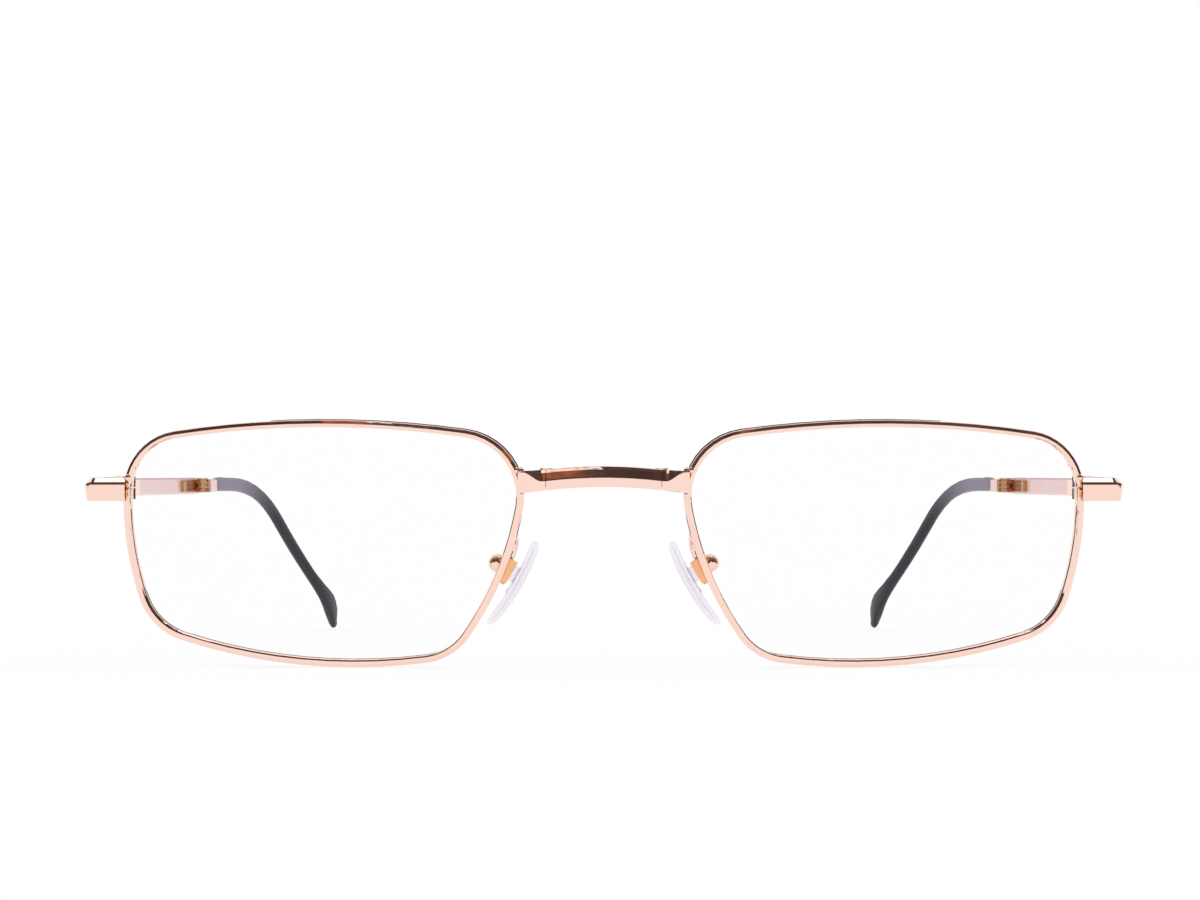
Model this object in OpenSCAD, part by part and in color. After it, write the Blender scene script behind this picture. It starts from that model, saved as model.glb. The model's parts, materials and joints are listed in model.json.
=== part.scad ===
// Folding metal reading glasses standing on their rims and temple tips.
// X runs across the face, Y from the front to the ears and Z up from the table.
// Millimetres. The pieces on the +X side are drawn, and the -X side mirrors them.

/* [Lenses] */
// Width of each lens at its widest
lens_w = 52.85; // [48:0.1:56]
// Height of each lens
lens_h = 31.6; // [28:0.1:36]
// Gap between the two lenses
lens_gap = 21.4; // [20:0.1:25]
// Radius of the lenses' front curve
base_r = 131; // [100:1:170]
// Reading power in dioptres
lens_power = 2; // [1:0.25:3]
// Thickness of a lens at its thinnest edge
lens_edge = 1.2; // [1:0.05:1.6]
// Backward lean of the lens foot in degrees
lean = 5; // [2:0.5:8]
// Backward sweep of each lens's outer side in degrees
wrap = 4; // [2:0.5:6]

/* [Lens outline] */
// Curve radius of the upper edge
top_r = 127.5; // [90:1:220]
// Curve radius of the lower edge
bottom_r = 81; // [60:1:130]
// Curve radius of the outer edge
outer_r = 43.7; // [34:0.1:54]
// Curve radius of the edge beside the nose
nose_r = 42.6; // [36:0.1:54]
// Corner radius above, on the outer side
corner_out_top = 7.7; // [5:0.1:9]
// Corner radius above, beside the nose
corner_nose_top = 8.2; // [5:0.1:8.5]
// Corner radius below, beside the nose
corner_nose_low = 7.5; // [5:0.1:9]
// Corner radius below, on the outer side
corner_out_low = 7.8; // [5:0.1:9]

/* [Rims] */
// Part of the rim that stands outside the lens edge
rim_out = 0.65; // [0.6:0.01:0.9]
// Lip of the rim that overlaps the lens
rim_lip = 0.3; // [0.25:0.01:0.5]
// Depth of the rim from front to back
rim_depth = 2; // [1.6:0.05:2.5]
// Bevel on the rim's outer front edge
rim_bevel = 0.45; // [0.2:0.01:0.55]
// Bevel along the rim's inner front edge, beside the lens
lip_bevel = 0.13; // [0.05:0.01:0.2]
// Width of the groove that holds the lens
groove_w = 0.9; // [0.7:0.05:1.1]
// Width of the saw cut that lets the rim open for the lens
rim_cut = 0.12; // [0.08:0.01:0.2]

/* [Bridge] */
// Height of the bridge bar's middle above the lens centre
bridge_up = 8.5; // [7.5:0.1:9.5]
// Height of the bridge bar
bridge_h = 2.75; // [2.4:0.05:3.2]
// Thickness of the bridge bar from front to back
bridge_t = 1.7; // [1.5:0.05:2]
// Rise of the bridge bar's middle over its ends
bridge_arch = 0.45; // [0:0.05:0.8]
// Height of the sloping face along the bridge bar's upper front edge
bridge_bevel_h = 1.45; // [0.8:0.05:1.6]
// Depth of that sloping face
bridge_bevel_d = 0.9; // [0.4:0.05:1.1]
// Distance from the middle to each folding seam
seam_x = 7.65; // [7.2:0.05:7.9]

/* [End pieces and closing blocks] */
// Reach of each end piece beyond the rim
end_reach = 5.3; // [5:0.1:6.5]
// Height of the end piece
end_h = 3.1; // [2.9:0.05:3.6]
// Thickness of the end piece
end_t = 1.4; // [1.2:0.05:1.6]
// Radius of the end piece's outer corner
end_corner = 1.6; // [1.45:0.05:2.2]
// Inward slant of the end piece's outer face
end_slant = 0.5; // [0:0.05:0.6]
// Bevel along the end piece's upper front edge
end_bevel = 0.75; // [0.4:0.05:0.9]
// Depth of the closing blocks behind the rim
block_depth = 1.9; // [1.7:0.05:2]
// Height of the two closing blocks together
block_h = 3.1; // [3:0.05:3.8]

/* [Hinges] */
// Outer radius of the hinge barrels
barrel_r = 1.2; // [1.1:0.01:1.3]
// Radius of the hinge screws' shafts
screw_r = 0.5; // [0.4:0.01:0.6]
// Clearance around a screw's shaft
screw_play = 0.04; // [0.02:0.01:0.06]
// Radius of the screw heads
head_r = 0.9; // [0.8:0.05:1]
// Height of the screw heads
head_h = 0.25; // [0.2:0.05:0.4]
// Height of an end or bridge hinge's three barrels together
barrel_h = 2.3; // [2.2:0.05:2.6]
// Height of a middle hinge's three barrels together
mid_barrel_h = 1.9; // [1.85:0.05:2.1]
// Gap between one barrel and the next
barrel_gap = 0.06; // [0.04:0.01:0.1]
// Thickness of the hinge leaves
leaf_t = 0.6; // [0.5:0.05:0.7]
// Length of the leaves at the middle hinges
leaf_len = 8; // [6.5:0.5:9]
// Length of the leaf housing on each temple
housing_len = 13; // [9:0.5:16]
// Height of that housing
housing_h = 2.2; // [2:0.05:2.4]
// Thickness of that housing
housing_t = 2.3; // [2:0.05:2.5]
// Distance of the end hinges behind the front
end_hinge_y = 9.5; // [9.3:0.1:11]

/* [Temples] */
// Height of the temples' middle above the lens centre
temple_up = 7.45; // [6.8:0.1:8]
// Height of the temple bars
temple_h = 2.5; // [2.4:0.05:3]
// Thickness of the temple bars
temple_t = 1.2; // [1:0.05:1.35]
// Length from the end hinge to the middle hinge
front_len = 50.5; // [46:0.5:54]
// Inward slant of the temples in degrees
temple_in = 6.6; // [5:0.1:7.5]
// Length along the rear section from the middle hinge to its end
rear_len = 56; // [53:0.5:58]
// Length of the bare metal behind the middle hinge
metal_len = 12.6; // [11:0.1:14]
// Where the ear bend begins, measured from the middle hinge
bend_start = 15; // [14:0.5:18]
// Length of the ear bend
bend_len = 18; // [12:0.5:20]
// Inward turn just behind the middle hinge in degrees
ear_turn = 22; // [15:1:23]
// Further inward turn along the tip in degrees
ear_hug = 11; // [6:1:13]
// Outward flare of the paddle in degrees
tip_flare = 25; // [10:1:27]
// Downward angle of the tip behind the ear
drop_angle = 46; // [42:0.5:48]
// Height of the tip where it covers the metal
tip_h = 2.05; // [1.9:0.05:2.3]
// Thickness of the tip where it covers the metal
tip_t = 1.55; // [1.5:0.05:2]
// Height of the flat paddle at the tip's end
paddle_h = 3.3; // [3:0.1:4.4]
// Thickness of the paddle
paddle_t = 1.75; // [1.7:0.05:2.5]
// Length of the metal core inside the tip
core_len = 9; // [6:0.5:9]

/* [Nose pads] */
// Length of each pad
pad_len = 12.9; // [12:0.1:14.5]
// Width of each pad
pad_w = 7.6; // [6.5:0.1:8]
// Thickness of each pad
pad_t = 1.2; // [1:0.05:1.6]
// Curve radius of the pads along their length
pad_curve = 30; // [22:1:60]
// Lean of the pads from upright in degrees
pad_lean = 30; // [26:1:36]
// Turn of the pads' front edge away from the nose in degrees
pad_splay = 3; // [0:1:12]
// Radius of the wire that carries each pad
arm_r = 0.45; // [0.35:0.01:0.5]
// Width of the pad box across the pad's clip
box_w = 2.9; // [2.8:0.05:3.3]
// Length of the pad box
box_len = 3.2; // [3:0.05:3.6]

/* [Hidden] */
$fn = 48;

rose = "#e8bda6";
gold = "#d9a066";
steel = "#cfc4bd";
tip_grey = "#55525c";
clear = [0.88, 0.85, 0.95, 0.55];
glass = [0.85, 0.92, 0.96, 0.3];

// Clearances: soldered seams, butting ends, moving faces and the lens in its groove.
solder = 0.02;
butt = 0.06;
run = 0.15;
lens_play = 0.04;

// The lens outline is four wide arcs joined by four corner arcs.
// Each arc is [centre, radius, first angle, last angle, steps] in the lens's own x and z.
c_top = [0, lens_h / 2 - top_r];
c_nose = [nose_r - lens_w / 2, 0.395 * lens_h];
c_low = [-0.076 * lens_w, bottom_r - lens_h / 2];
c_out = [lens_w / 2 - outer_r, 0.177 * lens_h];

function meet(a, ra, b, rb) =
    let (d = norm(b - a), k = (d * d + ra * ra - rb * rb) / (2 * d),
         h = sqrt(ra * ra - k * k), u = (b - a) / d)
    a + k * u + h * [-u[1], u[0]];
function heading(v) = (atan2(v[1], v[0]) + 360) % 360;

k_out_top = meet(c_out, outer_r - corner_out_top, c_top, top_r - corner_out_top);
k_nose_top = meet(c_top, top_r - corner_nose_top, c_nose, nose_r - corner_nose_top);
k_nose_low = meet(c_nose, nose_r - corner_nose_low, c_low, bottom_r - corner_nose_low);
k_out_low = meet(c_low, bottom_r - corner_out_low, c_out, outer_r - corner_out_low);

arcs = [
    [c_out, outer_r, heading(k_out_low - c_out) - 360, heading(k_out_top - c_out), 10],
    [k_out_top, corner_out_top, heading(k_out_top - c_out), heading(k_out_top - c_top), 10],
    [c_top, top_r, heading(k_out_top - c_top), heading(k_nose_top - c_top), 10],
    [k_nose_top, corner_nose_top, heading(k_nose_top - c_top), heading(k_nose_top - c_nose), 10],
    [c_nose, nose_r, heading(k_nose_top - c_nose), heading(k_nose_low - c_nose), 10],
    [k_nose_low, corner_nose_low, heading(k_nose_low - c_nose), heading(k_nose_low - c_low), 10],
    [c_low, bottom_r, heading(k_nose_low - c_low), heading(k_out_low - c_low), 10],
    [k_out_low, corner_out_low, heading(k_out_low - c_low), heading(k_out_low - c_out), 10]];

// Outline at a distance off outside the lens edge, as a list of [x, z].
function outline(off) = [for (a = arcs) for (i = [0:a[4] - 1])
    let (t = a[2] + (a[3] - a[2]) * i / a[4]) a[0] + (a[1] + off) * [cos(t), sin(t)]];
function outer_edge(off, z) = c_out[0] + sqrt(pow(outer_r + off, 2) - pow(z - c_out[1], 2));
function nose_edge(off, z) = c_nose[0] - sqrt(pow(nose_r + off, 2) - pow(z - c_nose[1], 2));

edge = outline(0);
function sag(x, z, r) = r - sqrt(r * r - x * x - z * z);
edge_sag = [for (p = edge) sag(p[0], p[1], base_r)];

// Lean and wrap of the lens about its own centre.
function tilt(p) =
    let (y = p[1] * cos(lean) - p[2] * sin(lean), z = p[1] * sin(lean) + p[2] * cos(lean))
    [p[0] * cos(wrap) - y * sin(wrap), p[0] * sin(wrap) + y * cos(wrap), z];

rim_line = outline(rim_out);
rim_foot = [for (i = [0:len(edge) - 1]) for (v = [rim_bevel - rim_depth / 2, rim_depth / 2])
    tilt([rim_line[i][0], edge_sag[i] + v, rim_line[i][1]])];
lens_x = lens_gap / 2 + lens_w / 2;
lens_z = -min([for (p = rim_foot) p[2]]);
bridge_z = lens_z + bridge_up;
temple_z = lens_z + temple_up;

// The bridge hinges sit a little above the bar's middle, so that their tops show over it.
bridge_lift = 0.15;

// The lug's lip and the end piece's lip lie in front of the rim.
lip = 0.55;
nose_x = nose_edge(0, bridge_up);
lens_y = lip + solder - tilt([nose_x, sag(nose_x, bridge_up, base_r) - rim_depth / 2, bridge_up])[1];
function seat_point(p) = tilt(p) + [lens_x, lens_y, lens_z];

rim_side_x = outer_edge(rim_out, temple_up);
rim_side = seat_point([rim_side_x, sag(outer_edge(0, temple_up), temple_up, base_r), temple_up]);
end_x = rim_side[0] + end_reach;
end_y = rim_side[1] - rim_depth / 2 - lip - solder - 0.12;
axis_x = end_x - end_t - solder - 0.08 - barrel_r;
face_x = barrel_r + 0.1;

function ease(x, a, b) = let (t = max(0, min(1, (x - a) / (b - a)))) t * t * (3 - 2 * t);
function inward(l) = ear_turn * ease(l, leaf_len + 0.1, leaf_len + 6)
    + ear_hug * ease(l, 0.54 * rear_len, 0.9 * rear_len) - tip_flare * ease(l, rear_len - 13, rear_len - 3);
function slope(l) = drop_angle * ease(l, bend_start, bend_start + bend_len);
function rear_dir(l) =
    [-sin(inward(l)) * cos(slope(l)), cos(inward(l)) * cos(slope(l)), -sin(slope(l))];
rear_step = rear_len / 120;
raw_path = [for (i = 0, p = [face_x + temple_t / 2, 0, 0]; i <= 120;
    p = p + rear_step * rear_dir((i + 0.5) * rear_step), i = i + 1) p];
// The drop is scaled by a few percent so that the tip's end just meets the table.
tip_foot = 0.35;
drop_scale = (temple_z - tip_foot) / -raw_path[120][2];
rear_path = [for (p = raw_path) [p[0], p[1], p[2] * drop_scale]];
function rear_point(l) =
    let (k = max(0, min(119.999, l / rear_step)), i = floor(k))
    rear_path[i] + (k - i) * (rear_path[i + 1] - rear_path[i]);
function unit(v) = v / norm(v);
function rear_along(l) = l < 1 ? [0, 1, 0] : unit(rear_point(l + 0.3) - rear_point(l - 0.3));

tip_len = rear_len - metal_len;
tip_rows = [for (t = [0, 0.01, 0.06, 0.12, 0.17, 0.22, 0.27, 0.32, 0.37, 0.42, 0.47, 0.54, 0.61,
    0.68, 0.73, 0.77, 0.81, 0.85, 0.89, 0.925, 0.955, 0.98, 0.995]) tip_ring(t)];
function tip_high(t) = lookup(t, [[0, tip_h - 0.2], [0.01, tip_h], [0.15, tip_h], [0.33, 0.86 * tip_h],
    [0.72, 0.82 * tip_h], [0.79, 0.6 * paddle_h], [0.85, 0.86 * paddle_h], [0.905, paddle_h],
    [0.955, 0.8 * paddle_h], [0.98, 0.5 * paddle_h], [1, 0.2 * paddle_h]]);
function tip_wide(t) = lookup(t, [[0, tip_t - 0.2], [0.01, tip_t], [0.3, 0.95 * tip_t],
    [0.76, 0.9 * tip_t], [0.85, 0.86 * paddle_t], [0.91, paddle_t],
    [0.955, 0.8 * paddle_t], [0.98, 0.56 * paddle_t], [1, 0.3 * paddle_t]]);
function tip_ring(t) =
    let (l = metal_len + t * tip_len, c = rear_point(l), d = rear_along(l),
         s = unit(cross(d, [0, 0, 1])), n = cross(s, d),
         h = tip_high(t) / 2, w = tip_wide(t) / 2, shift = max(0, h - 0.42 * tip_h) * n)
    [for (a = [0:30:330]) let (ca = cos(a), sa = sin(a))
        c + shift + n * h * sign(ca) * pow(abs(ca), 0.8) + s * w * sign(sa) * pow(abs(sa), 0.8)];

// World position of a point given in the frame of the end hinge.
function temple_point(p) = [axis_x + p[0] * cos(temple_in) - p[1] * sin(temple_in),
    end_hinge_y + p[0] * sin(temple_in) + p[1] * cos(temple_in), temple_z + p[2]];
depth_back = max([for (r = tip_rows) for (p = r) temple_point(p + [0, front_len, 0])[1]]);
depth_front = min(0, min([for (p = rim_foot) p[1]]) + lens_y);
depth_mid = (depth_back + depth_front) / 2;

// Where the pad box sits: behind the rim's nose side, and the direction its clip faces.
pad_up = -3.5;
pad_x = lens_x + nose_edge(rim_out, pad_up) - 0.1;
pad_y = lens_y + 4.7;
pad_z = lens_z + pad_up;
slot_w = box_w - 1.1;
pin_r = 0.35;

module centred() {
    translate([0, -depth_mid, 0]) children();
}

module at_lens() {
    centred() translate([lens_x, lens_y, lens_z]) rotate([lean, 0, wrap]) children();
}

module at_bridge_hinge() {
    centred() translate([seam_x, bridge_t + face_x, bridge_z + bridge_lift]) rotate(-90) children();
}

module at_end_hinge(turn) {
    centred() translate([axis_x, end_hinge_y, temple_z]) rotate(turn) children();
}

module at_mid_hinge() {
    at_end_hinge(temple_in) translate([0, front_len, 0]) children();
}

module at_pad() {
    centred() translate([pad_x, pad_y, pad_z]) rotate([0, -pad_lean, 0]) children();
}

// Skin through rows of points, each row running anticlockwise about the direction of travel.
module skin(rows, loop = false, first = undef, last = undef) {
    n = len(rows);
    m = len(rows[0]);
    ones = [for (i = [1:m]) 1];
    a = is_undef(first) ? ones * rows[0] / m : first;
    b = is_undef(last) ? ones * rows[n - 1] / m : last;
    ends = loop ? [] : [a, b];
    sides = [for (i = [0:n - (loop ? 1 : 2)]) for (j = [0:m - 1])
        let (k = (i + 1) % n, q = (j + 1) % m)
        each [[i * m + j, k * m + q, i * m + q], [i * m + j, k * m + j, k * m + q]]];
    caps = loop ? [] : [for (j = [0:m - 1]) let (q = (j + 1) % m)
        each [[n * m, j, q], [n * m + 1, (n - 1) * m + q, (n - 1) * m + j]]];
    polyhedron(points = concat([for (r = rows) each r], ends), faces = concat(sides, caps));
}

// Rows of a rim whose section is a list of [distance outside the lens edge, depth].
function rim_rows(section) =
    let (lines = [for (s = section) outline(s[0])])
    [for (i = [0:len(edge) - 1]) [for (j = [0:len(section) - 1])
        [lines[j][i][0], edge_sag[i] + section[j][1], lines[j][i][1]]]];

half = rim_depth / 2;
rim_section = [[rim_out, -half + rim_bevel], [rim_out, half], [-rim_lip, half],
    [-rim_lip, groove_w / 2], [lens_play, 0], [-rim_lip, -groove_w / 2],
    [-rim_lip, lip_bevel - half], [lip_bevel - rim_lip, -half], [rim_out - rim_bevel, -half]];

// A plain ring a solder seam larger than the rim, used to fit pieces against it.
module rim_space() {
    s = solder;
    at_lens() skin(rim_rows([[rim_out + s, -half - s + rim_bevel], [rim_out + s, half + s],
        [-rim_lip - s, half + s], [-rim_lip - s, -half - s],
        [rim_out + s - rim_bevel, -half - s]]), loop = true);
}

module left_rim() {
    color(rose) difference() {
        at_lens() skin(rim_rows(rim_section), loop = true);
        centred() translate([rim_side[0], rim_side[1], temple_z])
            cube([6, 8, rim_cut], center = true);
    }
}

// Front and back curves, with the lens thickened until its thinnest edge is as stated.
glass_index = 1.5;
back_r = 1 / (1 / base_r - lens_power / (1000 * (glass_index - 1)));
spread = max([for (p = edge) norm(p)]);
lens_front = -0.75;
lens_mid = lens_edge + sag(spread, 0, base_r) - sag(spread, 0, back_r);
rim_inner = outline(-rim_lip - lens_play);

module left_lens() {
    grow = [0.36, 0.7, 1];
    back = [for (g = grow) [for (p = rim_inner)
        [g * p[0], lens_front + lens_mid + sag(g * p[0], g * p[1], back_r), g * p[1]]]];
    front = [for (g = [1, 0.7, 0.36]) [for (p = rim_inner)
        [g * p[0], lens_front + sag(g * p[0], g * p[1], base_r), g * p[1]]]];
    ridge = groove_w / 2 - 2 * lens_play;
    bevel = [for (v = [ridge, 0, -ridge]) [for (i = [0:len(edge) - 1])
        let (p = v == 0 ? edge[i] : rim_inner[i]) [p[0], edge_sag[i] + v, p[1]]]];
    color(glass) at_lens() skin(concat(back, bevel, front),
        first = [0, lens_front + lens_mid, 0], last = [0, lens_front, 0]);
}

// Closing block: two halves soldered to the rim's cut ends and drawn together by a screw.
block_in = rim_side[0] - rim_out - rim_lip - 0.1;
block_out = rim_side[0] + 1.25;
block_back = rim_side[1] + half + block_depth;
block_front = end_y + end_t + solder;
block_screw = [rim_side[0] + 0.1, rim_side[1] + half + block_depth / 2 + 0.05];

module block_half(low, high) {
    tall = high - low;
    back_y = rim_side[1] + half + 2 * solder + 0.12;
    difference() {
        centred() translate([0, 0, temple_z + low]) union() {
            translate([block_in, back_y, 0]) cube([block_out - block_in, block_back - back_y, tall]);
            translate([rim_side[0] + 0.2, block_front, 0])
                cube([block_out - rim_side[0] - 0.2, block_back - block_front, tall]);
        }
        rim_space();
        centred() translate([block_screw[0], block_screw[1], temple_z - 5])
            cylinder(r = screw_r + screw_play, h = 10);
    }
}

module left_block_upper() {
    color(rose) block_half(rim_cut / 2, block_h / 2);
}

module left_block_lower() {
    color(rose) block_half(-block_h / 2, -rim_cut / 2);
}

// Slotted screw standing on its head's seat at z = 0, with its shaft pointing down.
module screw(shaft_r, shaft_len, cap_r, cap_h) {
    difference() {
        union() {
            translate([0, 0, -shaft_len]) cylinder(r = shaft_r, h = shaft_len + cap_h / 2);
            cylinder(r = cap_r, h = cap_h);
        }
        translate([0, 0, cap_h]) cube([3 * cap_r, 0.22, cap_h], center = true);
    }
}

module left_block_screw() {
    color(steel) centred() translate([block_screw[0], block_screw[1], temple_z - block_h / 2])
        mirror([0, 0, 1]) screw(screw_r, block_h, 0.8, head_h);
}

// End piece: a bevelled bar that covers the rim, turns the corner and runs back to the hinge.
module left_end_piece() {
    turn = [for (a = [-90:15:0]) a];
    first = [rim_side[0] - 0.3, end_y];
    path = concat([[first, -90]],
        [for (a = turn) [[end_x - end_corner, end_y + end_corner] + end_corner * [cos(a), sin(a)], a]],
        [[[end_x, end_hinge_y - butt], 0]]);
    low = temple_z - 0.2 - end_h / 2;
    high = low + end_h;
    // Towards its side the outer face slants and the bevel grows; side runs from 0 in front to 1.
    function section(side) = [[-end_slant * side, low], [-end_t, low], [-end_t, high],
        [-end_bevel * (1 + 0.3 * side), high], [0, high - end_bevel * (1 + 0.3 * side)]];
    color(rose) difference() {
        union() {
            centred() skin([for (p = path) [for (s = section(1 + sin(p[1])))
                let (q = p[0] + s[0] * [cos(p[1]), sin(p[1])]) [q[0], q[1], s[1]]]]);
            centred() translate([first[0] - 0.3, end_y + 0.7, high]) sphere(r = 0.46);
        }
        rim_space();
    }
}

// Three-barrel hinge about z. Its outer faces lie at x = face_x, and it opens along -y and +y.
function barrel_third(tall) = (tall - 2 * barrel_gap) / 3;
function outer_pair(tall) = [[-tall / 2, barrel_third(tall)], [tall / 2 - barrel_third(tall), barrel_third(tall)]];
function inner_one(tall) = [[-barrel_third(tall) / 2, barrel_third(tall)]];
leaf_start = barrel_r + run;

module barrels(list, way) {
    for (b = list) {
        translate([0, 0, b[0]]) cylinder(r = barrel_r, h = b[1]);
        translate([face_x - leaf_t, way > 0 ? 0 : -leaf_start, b[0]])
            cube([leaf_t, leaf_start, b[1]]);
    }
}

module leaf(list, way, length, tall) {
    difference() {
        union() {
            barrels(list, way);
            translate([face_x - leaf_t, way > 0 ? leaf_start : -length, -tall / 2])
                cube([leaf_t, length - leaf_start, tall]);
        }
        cylinder(r = screw_r + screw_play, h = 2 * barrel_h, center = true);
    }
}

module hinge_screw(tall) {
    translate([0, 0, tall / 2]) screw(screw_r, tall, head_r, head_h);
}

module left_end_leaf() {
    color(gold) at_end_hinge(0)
        leaf(outer_pair(barrel_h), -1, end_hinge_y - end_y - end_t - 0.5, 2);
}

module left_end_screw() {
    color(steel) at_end_hinge(0) hinge_screw(barrel_h);
}

// Temple side of the end hinge: one barrel on a long housing with a sloping rear end.
module left_temple_housing() {
    deep = face_x - housing_t;
    color(rose) at_end_hinge(temple_in) union() {
        difference() {
            union() {
                barrels(inner_one(barrel_h), 1);
                translate([0, 0, -housing_h / 2]) linear_extrude(housing_h)
                    polygon([[face_x, leaf_start + 0.2], [face_x, housing_len],
                        [face_x - 0.5, housing_len], [deep, housing_len - 1.4],
                        [deep, leaf_start + 0.9], [deep + 0.7, leaf_start + 0.2]]);
                translate([face_x - leaf_t, barrel_r, -barrel_third(barrel_h) / 2])
                    cube([leaf_t - 0.1, 1, barrel_third(barrel_h)]);
            }
            cylinder(r = screw_r + screw_play, h = 2 * barrel_h, center = true);
        }
    }
}

// Flat bar along y with its inner face at x = 0 and bevelled long edges.
module flat_bar(from, to, thick, high) {
    b = 0.2;
    translate([0, from, 0]) rotate([-90, 0, 0]) linear_extrude(to - from)
        polygon([[0, -high / 2 + b], [b, -high / 2], [thick - b, -high / 2], [thick, -high / 2 + b],
            [thick, high / 2 - b], [thick - b, high / 2], [b, high / 2], [0, high / 2 - b]]);
}

module left_temple_bar() {
    start = butt - face_x * tan(temple_in);
    color(rose) at_end_hinge(temple_in) translate([face_x, 0, 0])
        flat_bar(start, front_len - butt / 2, temple_t, temple_h);
}

module left_mid_leaf_front() {
    color(gold) at_mid_hinge() leaf(outer_pair(mid_barrel_h), -1, leaf_len, 1.7);
}

module left_mid_screw() {
    color(steel) at_mid_hinge() hinge_screw(mid_barrel_h);
}

module left_mid_leaf_rear() {
    color(gold) at_mid_hinge() leaf(inner_one(mid_barrel_h), 1, leaf_len, 1.7);
}

// Ring of a bevelled flat section square to the rear path.
function bar_ring(l, thick, high, b, off = 0) =
    let (c = rear_point(l), d = rear_along(l), s = unit(cross(d, [0, 0, 1])), n = cross(s, d),
         w = thick / 2, h = high / 2)
    [for (q = [[h, b - w], [h, w - b], [h - b, w], [b - h, w], [-h, w - b], [-h, b - w],
        [b - h, -w], [h - b, -w]]) c + n * q[0] + s * (q[1] + off)];

module core(grow) {
    skin([for (l = [metal_len - 0.2, metal_len + 1.5, metal_len + 3, metal_len + 4.5,
        metal_len + 6, metal_len + core_len - 1, metal_len + core_len + grow])
        bar_ring(l, 0.8 + 2 * grow, 1.3 + 2 * grow, 0.15)]);
}

// Rear bar: flat beside the hinge, then bent inward and narrowed to enter the tip.
module left_rear_bar() {
    far = metal_len - solder;
    bend = [for (l = [leaf_len:0.9:metal_len - 0.8]) l];
    color(rose) at_mid_hinge() union() {
        skin(concat(
            [for (l = concat([butt / 2], bend, [far]))
                let (h = temple_h - (temple_h - tip_h + 0.1) * ease(l, 0, metal_len))
                bar_ring(l, temple_t, h, 0.2)]));
        core(0);
    }
}

// Tip: a moulded sleeve that bends over the ear and ends in a paddle.
module left_temple_tip() {
    color(tip_grey) at_mid_hinge() difference() {
        skin(tip_rows);
        core(solder);
    }
}

// Bridge bar and lugs share one bevelled section.
function bar_drop(x) = x < seam_x ? bridge_arch * pow(x / seam_x, 2)
    : bridge_arch + 0.07 * (x - seam_x);
function bar_bevel(x) = 1 - 0.9 * ease(x, seam_x + 0.5, seam_x + 3);
function bar_section(x) =
    let (ax = abs(x), mid = bridge_z + bridge_arch - bar_drop(ax), k = bar_bevel(ax),
         high = mid + bridge_h / 2, low = mid - bridge_h / 2 - 0.05 * max(0, ax - seam_x))
    [[x, 0, low], [x, bridge_t, low], [x, bridge_t, high], [x, k * bridge_bevel_d, high],
        [x, 0.58 * k * bridge_bevel_d, high - 0.3 * k * bridge_bevel_h], [x, 0, high - k * bridge_bevel_h]];

module bridge_bar() {
    w = seam_x - butt / 2;
    color(rose) centred() skin([for (x = [-w:w / 8:w + 0.01]) bar_section(x)]);
}

module left_lug() {
    a = seam_x + butt / 2;
    b = lens_x + nose_edge(0.1, bridge_up);
    color(rose) difference() {
        union() {
            centred() skin([for (t = [0:0.1:1.01]) bar_section(a + t * (b - a))]);
            // The sphere's seam is turned away from the rim, where the cut would cross it.
            centred() translate([b + 0.2, 0.7, bridge_z + bridge_h / 2 - 0.12])
                rotate([0, 0, 100]) sphere(r = 0.43);
        }
        rim_space();
        centred() translate([b - 0.9, bridge_t - 0.1, bridge_z - 4]) cube([2, 2, 8]);
    }
}

module left_bridge_leaf() {
    color(gold) at_bridge_hinge() leaf(outer_pair(barrel_h), -1, 4.4, 2);
}

module right_bridge_leaf() {
    mirror([1, 0, 0]) left_bridge_leaf();
}

module left_bridge_screw() {
    color(steel) at_bridge_hinge() hinge_screw(barrel_h);
}

module right_bridge_screw() {
    mirror([1, 0, 0]) left_bridge_screw();
}

module left_lug_leaf() {
    reach = lens_x + nose_edge(rim_out + 0.25, bridge_up) - seam_x;
    color(gold) at_bridge_hinge() leaf(inner_one(barrel_h), 1, reach, 2);
}

// Pad arm: a wire from the rim's back that loops down into the pad box's domed back.
arm_from = seat_point([nose_edge(rim_out - arm_r + 0.2, 0.9), sag(nose_edge(0, 0.9), 0.9, base_r) + half, 0.9]);
pad_dir = [-sin(pad_lean), 0, cos(pad_lean)];
arm_to = [pad_x, pad_y, pad_z] + 0.35 * [cos(pad_lean), 0, sin(pad_lean)] + (box_len / 2 - 0.3) * pad_dir - [0.1, 0, 0];

function bow(a, b, c, d, t) =
    pow(1 - t, 3) * a + 3 * t * pow(1 - t, 2) * b + 3 * t * t * (1 - t) * c + pow(t, 3) * d;
function wire_ring(p, d, r) =
    let (a = unit(cross(d, [1, 0, 0])), b = cross(d, a))
    [for (k = [0:45:315]) p + r * (a * cos(k) + b * sin(k))];

module left_pad_arm() {
    p0 = arm_from + [0, -0.4, 0];
    p1 = arm_from + [0, 3.2, 0.4];
    p2 = arm_to + [0, 0.8, 0] + 2 * pad_dir;
    p3 = arm_to;
    color(rose) difference() {
        centred() skin([for (i = [0:11]) let (t = i / 11,
            d = unit(bow(p0, p1, p2, p3, t + 0.01) - bow(p0, p1, p2, p3, t - 0.01)))
            wire_ring(bow(p0, p1, p2, p3, t), d, arm_r)]);
        rim_space();
        box_solid(solder);
    }
}

// Pad box in its own frame: x away from the nose, z along the pad, open towards -x.
module box_solid(grow) {
    at_pad() union() {
        translate([1.5, 0, 0.15]) sphere(r = 1.2 + grow);
        translate([0.5, 0, 0.15]) rotate([0, 90, 0]) cylinder(r = 1.2 + grow, h = 1);
        translate([-0.85 - grow, -box_w / 2 - grow, -box_len / 2 - grow])
            cube([1.8 + 2 * grow, box_w + 2 * grow, box_len + 2 * grow]);
    }
}

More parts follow.
